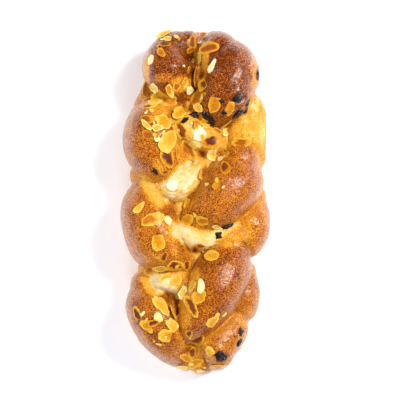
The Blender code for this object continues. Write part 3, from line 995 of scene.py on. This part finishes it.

        # Steep sides of the top strands are paler: partly the real crust, which the oven browns less there,
        # and partly a painted sheen for the light that grazes the rims.
        steep = smooth_step(normals[:, 2], 0.55, -0.1)
        low = smooth_step(points[:, 2], 26, 4)
        away_from_fold = smooth_step(fold + 1.4 * noise_at(points, 7, 3.1), 0.4, self.browned_mm)
        bake = fold_bake + (crest_bake - fold_bake) * away_from_fold
        bake -= 0.10 * steep * on_top
        bake = bake * (1 - 0.25 * low) + 0.12 * smooth_step(points[:, 2], 4, 0.5)
        torn = np.maximum(0.7 * stretched, 0.3 * under)
        from_above = smooth_step(points[:, 2], 18, 30)
        for patch in BAKE_PATCHES:
            distance, _ = inside(patch, points)
            share = smooth_step(distance + 0.24 * noise_at(points, 6, patch.x), 1.15, 0.6) * from_above
            bake += (patch.bake - bake) * share
            torn += (patch.torn - torn) * share
        lumps = 0.6 * noise_at(points, 19, 1.7) + 0.32 * noise_at(points, 8, 4.2)
        fibre_places = np.stack([along[owner, rows] / 2.2, across[owner, rows], points[:, 2] * 0.8], 1)
        fibres = 0.8 * noise_at(fibre_places, 2.1, 9.4) + 0.8 * noise_at(points, 3.2, 2.2)
        bake += 0.04 * noise_at(points, 14, 8.3) + 0.18 * fibres * torn
        sharp = 1 - 0.7 * np.maximum(stretched, under)
        crease = self.crease_depth_mm * np.exp(-((fold / self.crease_mm) ** 2)) * sharp
        relief = lumps + self.fibre_depth_mm * fibres * torn - crease
        for raisin in RAISINS:
            spot = Oval(raisin.x, raisin.y, raisin.length / 2, raisin.width / 2, raisin.turn)
            distance, _ = inside(spot, points)
            relief += self.bead_mm * np.exp(-(((distance - 1.4) / 0.4) ** 2)) * from_above
        for wrinkles in SKIN_WRINKLES:
            distance, off = inside(wrinkles, points)
            share = smooth_step(distance, 1.0, 0.3)
            wave = np.sin(off * 2 * math.pi / self.wrinkle_mm + 2.2 * noise_at(points, 11, 5.5))
            relief += self.wrinkle_depth_mm * wave * share * on_top
        relief += 0.13 * noise_at(points, 2.6, 6.6) * (1 - torn)
        stays = smooth_step(points[:, 2], 0.3, 5)
        points += normals * (relief * stays)[:, None]
        # Each deep place is pressed down, and its colour is pulled to a middle brown: painted shade for the
        # shadow that falls in it.
        for hollow in HOLLOWS:
            distance = np.hypot(points[:, 0] - hollow.x, points[:, 1] - hollow.y)
            share = np.exp(-((distance / hollow.radius) ** 2)) * from_above
            points[:, 2] -= hollow.depth * share
            torn += (self.hollow_torn - torn) * share
            bake += (self.hollow_painted_shade - bake) * share

        mesh.vertices.foreach_set("co", (points * MM).astype(np.float32).ravel())
        store(mesh, "bake", np.clip(bake, 0, 1))
        store(mesh, "torn", torn)
        mesh.shade_smooth()
        mesh.update()

    def build(self) -> bpy.types.Object:
        """Builds the finished loaf in the drawing and returns it."""
        loaf = self.grown()
        self.finish_crust(loaf)
        loaf.data.materials.append(BakedCrust().material())
        return loaf


@dataclass
class Crust:
    """The surface that the toppings lie on.

    Attributes:
        loaf: The finished loaf, still in the drawing.
    """

    loaf: bpy.types.Object

    def __post_init__(self) -> None:
        """Makes the tree that finds the surface."""
        mesh = self.loaf.data
        self.tree = BVHTree.FromPolygons([v.co for v in mesh.vertices], [f.vertices for f in mesh.polygons])

    def below(self, x: float, y: float) -> tuple[Vector, Vector] | None:
        """The highest surface point and its normal at x, y in mm, or None off the loaf."""
        place, normal = self.tree.ray_cast(Vector((x * MM, y * MM, 1.0)), Vector((0, 0, -1)))[:2]
        return (place, normal) if place else None

    def around(self, x: float, y: float, radius: float) -> tuple[Vector, Vector] | None:
        """The surface point over the middle of a round place, and the mean normal in it.

        Args:
            x: Its middle along X, in mm.
            y: Its middle along Y, in mm.
            radius: Its radius in mm.

        Returns:
            The point over the middle and the mean normal, or None off the loaf.
        """
        found = [self.below(x, y)]
        for step in range(8):
            turn = step * math.pi / 4
            found.append(self.below(x + radius * math.cos(turn), y + radius * math.sin(turn)))
        if found[0] is None:
            return None
        normal = sum((hit[1] for hit in found if hit), Vector())
        return found[0][0], normal.normalized()


@dataclass
class AlmondTopping:
    """All the almond flakes, as one mesh.

    Attributes:
        flakes: Where each lies and how it looks.
        thickness_mm: How thick a slice is.
        round_points: Points round a slice.
        seed: Makes each slice's outline its own.
        waves: The waves of a slice's rim, as how many go round and their greatest size.
        snapped: The share of slices whose point has snapped off.
        rim: Where the raised rim starts, as a share of the way out.
        flat_stand: A slice that stands up less than this, in degrees, hugs the crust.
    """

    flakes: Sequence[Flake] = FLAKES
    thickness_mm: float = 0.75
    round_points: int = 36
    seed: int = 7
    waves: tuple[tuple[int, float], ...] = (
        (2, 0.07), (3, 0.08), (5, 0.07), (8, 0.05), (11, 0.04), (16, 0.03),
    )
    snapped: float = 0.35
    rim: float = 0.84
    flat_stand: float = 22.0

    def slice_of_almond(
        self, flake: Flake, crust: Crust, draw: random.Random, stack_mm: float
    ) -> tuple[bpy.types.Mesh, list[float]] | None:
        """Makes one flake, pressed onto the crust.

        Args:
            flake: The flake.
            crust: The surface that it lies on.
            draw: The source of its small irregularities.
            stack_mm: How far the flakes under it lift it.

        Returns:
            Its mesh in the drawing and how toasted each of its points is, or None off the loaf.
        """
        found = crust.around(flake.x, flake.y, 0.3 * flake.length)
        if found is None:
            return None
        place, normal = found
        tilt = math.radians(flake.stand)
        lift = 0.4 + stack_mm + 0.3 * flake.width * math.sin(tilt)
        matrix = seat(place + normal * lift * MM, normal, flake.turn, flake.stand)
        curl, cup, twist = draw.uniform(-0.4, 1.2), draw.uniform(0, 0.7), draw.uniform(-0.6, 0.6)
        waves = [(k, draw.uniform(-size, size), draw.uniform(0, 6.3)) for k, size in self.waves]
        broken = draw.uniform(0.25, 0.7) if draw.random() < self.snapped else 1.0
        heart_across = draw.uniform(-0.15, 0.15)
        hug = 0.85 if flake.stand < self.flat_stand else 0.25
        bm = bmesh.new()
        bmesh.ops.create_uvsphere(bm, u_segments=self.round_points, v_segments=14, radius=1)
        toast = []
        for vert in bm.verts:
            u, v = vert.co.x, vert.co.y
            angle = math.atan2(v, u)
            swell = 1 + sum(size * math.cos(k * angle + phase) for k, size, phase in waves)
            edge = min(max((math.hypot(u, v) - self.rim) / 0.12, 0), 1)
            heart = self.heart_share(flake, u, v - heart_across, angle, waves)
            u, v = min(u * swell, broken), v * swell * (1 - 0.24 * u) * (1 + 0.1 * u * u)
            w = math.copysign(abs(vert.co.z) ** 0.8, vert.co.z) * self.thickness_mm / 2
            w += curl * (u * u - 0.3) + cup * (v * v - 0.3) + twist * u * v + 0.12 * edge
            vert.co = matrix @ (Vector((u * flake.length / 2, v * flake.width / 2, w)) * MM)
            ground = crust.below(vert.co.x / MM, vert.co.y / MM)
            if ground:
                sink = vert.co.z - ground[0].z - (w * math.cos(tilt) + lift) * MM
                vert.co.z -= max(min(sink, 3 * MM), -3 * MM) * hug
            tone = flake.toast + max(flake.heart - flake.toast, 0) * heart
            pale = min(0.55 * flake.toast, 0.3)
            toast.append(tone + (pale - tone) * 0.75 * edge)
        return to_mesh("flake", bm), toast

    def heart_share(
        self, flake: Flake, u: float, v: float, angle: float, waves: Sequence[tuple[int, float, float]]
    ) -> float:
        """How far a point of a flake is inside its darker heart, from 0 to 1."""
        ripple = 0.2 * math.sin(2 * angle + waves[0][2]) + 0.12 * math.sin(5 * angle + waves[2][2])
        spread = math.hypot((u - flake.shift) / 0.6, v / 0.55) + ripple
        share = min(max((1.2 - spread) / 0.28, 0), 1)
        return share * share * (3 - 2 * share)

    def crumbs(self, draw: random.Random) -> list[Flake]:
        """Small broken bits that lie beside some of the flakes."""
        bits = []
        for flake in self.flakes:
            if draw.random() < 0.45:
                turn, reach = draw.uniform(0, 360), draw.uniform(0.5, 0.8) * flake.length
                x = flake.x + reach * math.cos(math.radians(turn))
                y = flake.y + reach * math.sin(math.radians(turn))
                length = draw.uniform(2.5, 5)
                bits.append(Flake(x, y, length, length * 0.6, draw.uniform(0, 360), draw.uniform(0.05, 0.5)))
        return bits

    def build(self, crust: Crust) -> bpy.types.Object:
        """Builds all the flakes on the crust.

        Args:
            crust: The surface that they lie on.

        Returns:
            One object that holds every flake.
        """
        draw = random.Random(self.seed)
        bm = bmesh.new()
        toast: list[float] = []
        laid: list[Flake] = []
        for flake in [*self.flakes, *self.crumbs(draw)]:
            under = sum(
                math.hypot(flake.x - other.x, flake.y - other.y) < 0.3 * (flake.length + other.length)
                for other in laid
            )
            laid.append(flake)
            made = self.slice_of_almond(flake, crust, draw, 0.55 * min(under, 3))
            if made is None:
                continue
            mesh, tones = made
            take_in(bm, mesh)
            toast.extend(tones)
        obj = make_object("almond_flakes", bm)
        store(obj.data, "toast", np.clip(np.array(toast), 0, 1))
        obj.data.shade_smooth()
        obj.data.materials.append(ToastedAlmond().material())
        return obj


@dataclass
class RaisinTopping:
    """The raisins that show in the crust, as one mesh.

    Attributes:
        raisins: Where each lies, and the node that it stands for.
        flatness: Its thickness against its width.
        fold_depth: How deep its large folds are against its size.
        bulge: How far its outline bulges in and out against its size.
    """

    raisins: Sequence[Raisin] = RAISINS
    flatness: float = 0.78
    fold_depth: float = 0.26
    bulge: float = 0.3

    def shrivelled(self, raisin: Raisin, crust: Crust) -> bpy.types.Mesh:
        """Makes one wrinkled raisin where its node is.

        Args:
            raisin: The raisin.
            crust: The surface that it lies in.

        Returns:
            Its mesh in the drawing.
        """
        found = crust.around(raisin.x, raisin.y, 3)
        place, normal = found if found else (Vector((raisin.x * MM, raisin.y * MM, 0)), Vector((0, 0, 1)))
        if raisin in SCRAPS:
            middle = place - normal * raisin.width * 0.1 * MM
        else:
            low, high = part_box(raisin.node)
            middle = (low + high) / 2 + Vector((MIDDLE[0] * MM, MIDDLE[1] * MM, 0))
        matrix = seat(middle, normal, raisin.turn)
        bm = bmesh.new()
        bmesh.ops.create_icosphere(bm, subdivisions=5, radius=1)
        half = Vector((raisin.length, raisin.width, raisin.width * self.flatness)) / 2
        start = Vector((raisin.x, raisin.y, 0))
        for vert in bm.verts:
            out = vert.co.normalized()
            spot = Vector((out.x * half.x, out.y * half.y, out.z * half.z))
            bulge = noise.noise(out * 1.3 + start)
            crease = 1 - abs(noise.noise((spot + start) / 2.6)) * 2.4
            fine = 1 - abs(noise.noise((spot + start) / 1.2 + Vector((9, 9, 9)))) * 2
            swell = 1.1 + self.bulge * bulge - self.fold_depth * max(crease, 0) ** 2 - 0.07 * max(fine, 0)
            vert.co = matrix @ (spot * swell * MM)
        return to_mesh(raisin.node, bm)

    def build(self, crust: Crust) -> bpy.types.Object:
        """Builds all the raisins in the crust.

        Args:
            crust: The surface that they lie in.

        Returns:
            One object that holds every raisin.
        """
        bm = bmesh.new()
        for raisin in [*self.raisins, *SCRAPS]:
            take_in(bm, self.shrivelled(raisin, crust))
        obj = make_object("baked_raisins", bm)
        obj.data.shade_smooth()
        obj.data.materials.append(RaisinSkin().material())
        return obj


@dataclass(frozen=True)
class Softbox:
    """One softbox that faces the loaf.

    Attributes:
        name: What it is called.
        place: Where it hangs, in metres.
        size: The length of its side, in metres.
        watts: Its power.
        tint: Its colour as sRGB hex.
        mirrored: Whether glossy surfaces mirror it.
    """

    name: str
    place: tuple[float, float, float]
    size: float
    watts: float
    tint: str
    mirrored: bool


@dataclass
class Studio:
    """The white paper, the soft lights and the camera over the loaf.

    Only the key light shows in glossy surfaces, and the room is dimmer there, because
    the wash would turn the crust grey with anything more.

    Attributes:
        softboxes: The soft lights.
        room_tint: The colour of the room's soft light.
        room_in_gloss: How bright the room is in glossy surfaces, against its light.
        picture_pixels: The width and the height of the picture.
        camera_height_m: How far the camera is above the paper.
        mm_per_pixel: The size of a pixel at the loaf's widest height.
        widest_height_m: That height.
        centre_pixel: Where the loaf's middle is in the picture.
    """

    softboxes: tuple[Softbox, ...] = (
        Softbox("key_right", (0.68, 0.40, 0.98), 0.42, 20.5, "#FFFCF5", True),
        Softbox("fill_left", (-0.75, 0.15, 0.75), 0.60, 8.4, "#EFF4FC", False),
        Softbox("window_near", (-0.10, -1.05, 0.80), 0.4, 5.0, "#F2F8FF", False),
    )
    room_tint: str = "#F2F6FF"
    room_in_gloss: float = 0.25
    picture_pixels: int = 400
    camera_height_m: float = 1.2
    mm_per_pixel: float = 0.807
    widest_height_m: float = 0.025
    centre_pixel: tuple[float, float] = (196.0, 202.5)

    def lay_paper(self) -> None:
        """Lays the paper under the loaf."""
        bm = bmesh.new()
        bmesh.ops.create_grid(bm, x_segments=1, y_segments=1, size=3)
        paper = make_object("studio_paper", bm)
        paper.data.materials.append(StudioPaper().material())

    def hang_light(self, box: Softbox) -> None:
        """Hangs one softbox so that it faces the loaf."""
        light = bpy.data.lights.new(box.name, "AREA")
        light.size = box.size
        light.energy = box.watts
        light.color = linear(box.tint)[:3]
        obj = bpy.data.objects.new(box.name, light)
        obj.visible_glossy = box.mirrored
        obj.location = box.place
        obj.rotation_euler = (-Vector(box.place)).to_track_quat("-Z", "Y").to_euler()
        bpy.context.scene.collection.objects.link(obj)

    def light(self) -> None:
        """Sets the room's soft light, which is brightest low down, and the softboxes."""
        world = bpy.data.worlds.new("white_room")
        bpy.context.scene.world = world
        world.use_nodes = True
        direction = add_node(world, "ShaderNodeTexCoord").outputs["Generated"]
        parts = add_node(world, "ShaderNodeSeparateXYZ", {}, {"Vector": direction}).outputs
        height = add_node(world, "ShaderNodeMath", {"operation": "MULTIPLY_ADD"}, {
            0: parts["Y"], 1: 0.35, 2: parts["Z"],
        }).outputs["Value"]
        glossy = add_node(world, "ShaderNodeLightPath").outputs["Is Glossy Ray"]
        bright, in_gloss = (
            add_node(world, "ShaderNodeMapRange", {}, dict(zip(RANGE_INPUTS, values))).outputs[0]
            for values in ((height, 0.2, 0.8, 0.85, 0.1), (glossy, 0.0, 1.0, 1.0, self.room_in_gloss))
        )
        strength = add_node(world, "ShaderNodeMath", {"operation": "MULTIPLY"}, {0: bright, 1: in_gloss})
        connect(world, world.node_tree.nodes["Background"], {
            "Color": linear(self.room_tint), "Strength": strength.outputs["Value"],
        })
        for box in self.softboxes:
            self.hang_light(box)

    def place_camera(self) -> None:
        """Puts the camera straight above the loaf."""
        data = bpy.data.cameras.new("overhead")
        data.sensor_width = 36.0
        distance = self.camera_height_m - self.widest_height_m
        data.lens = data.sensor_width * distance / (self.picture_pixels * self.mm_per_pixel * MM)
        camera = bpy.data.objects.new("overhead", data)
        middle = self.picture_pixels / 2
        across = (middle - self.centre_pixel[0]) * self.mm_per_pixel - MIDDLE[0]
        up = (self.centre_pixel[1] - middle) * self.mm_per_pixel - MIDDLE[1]
        camera.location = (across * MM, up * MM, self.camera_height_m)
        bpy.context.scene.collection.objects.link(camera)
        bpy.context.scene.camera = camera

    def build(self) -> None:
        """Builds the whole studio."""
        self.lay_paper()
        self.light()
        self.place_camera()
        bpy.context.scene.view_settings.view_transform = "Standard"


def hand_over(piece: bpy.types.Object, nodes: Iterable[str]) -> None:
    """Moves a finished piece from the drawing to the frame and ties it to the CAD.

    Args:
        piece: The piece, still in the drawing.
        nodes: The CAD nodes that it stands for.
    """
    piece.data.transform(Matrix.Translation((-MIDDLE[0] * MM, -MIDDLE[1] * MM, 0)))
    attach(piece, "root")
    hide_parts(*nodes)
    piece.data.calc_loop_triangles()
    log.info("%s: %d triangles", piece.name, len(piece.data.loop_triangles))


def main() -> None:
    """Builds the loaf, its toppings and the studio."""
    logging.basicConfig(level=logging.INFO, format="%(name)s: %(message)s")
    loaf = Plait().build()
    crust = Crust(loaf)
    flakes = AlmondTopping().build(crust)
    raisins = RaisinTopping().build(crust)
    hand_over(loaf, ["loaf"])
    hand_over(flakes, ["loaf"])
    hand_over(raisins, [raisin.node for raisin in RAISINS])
    Studio().build()


if __name__ == "__main__":
    main()
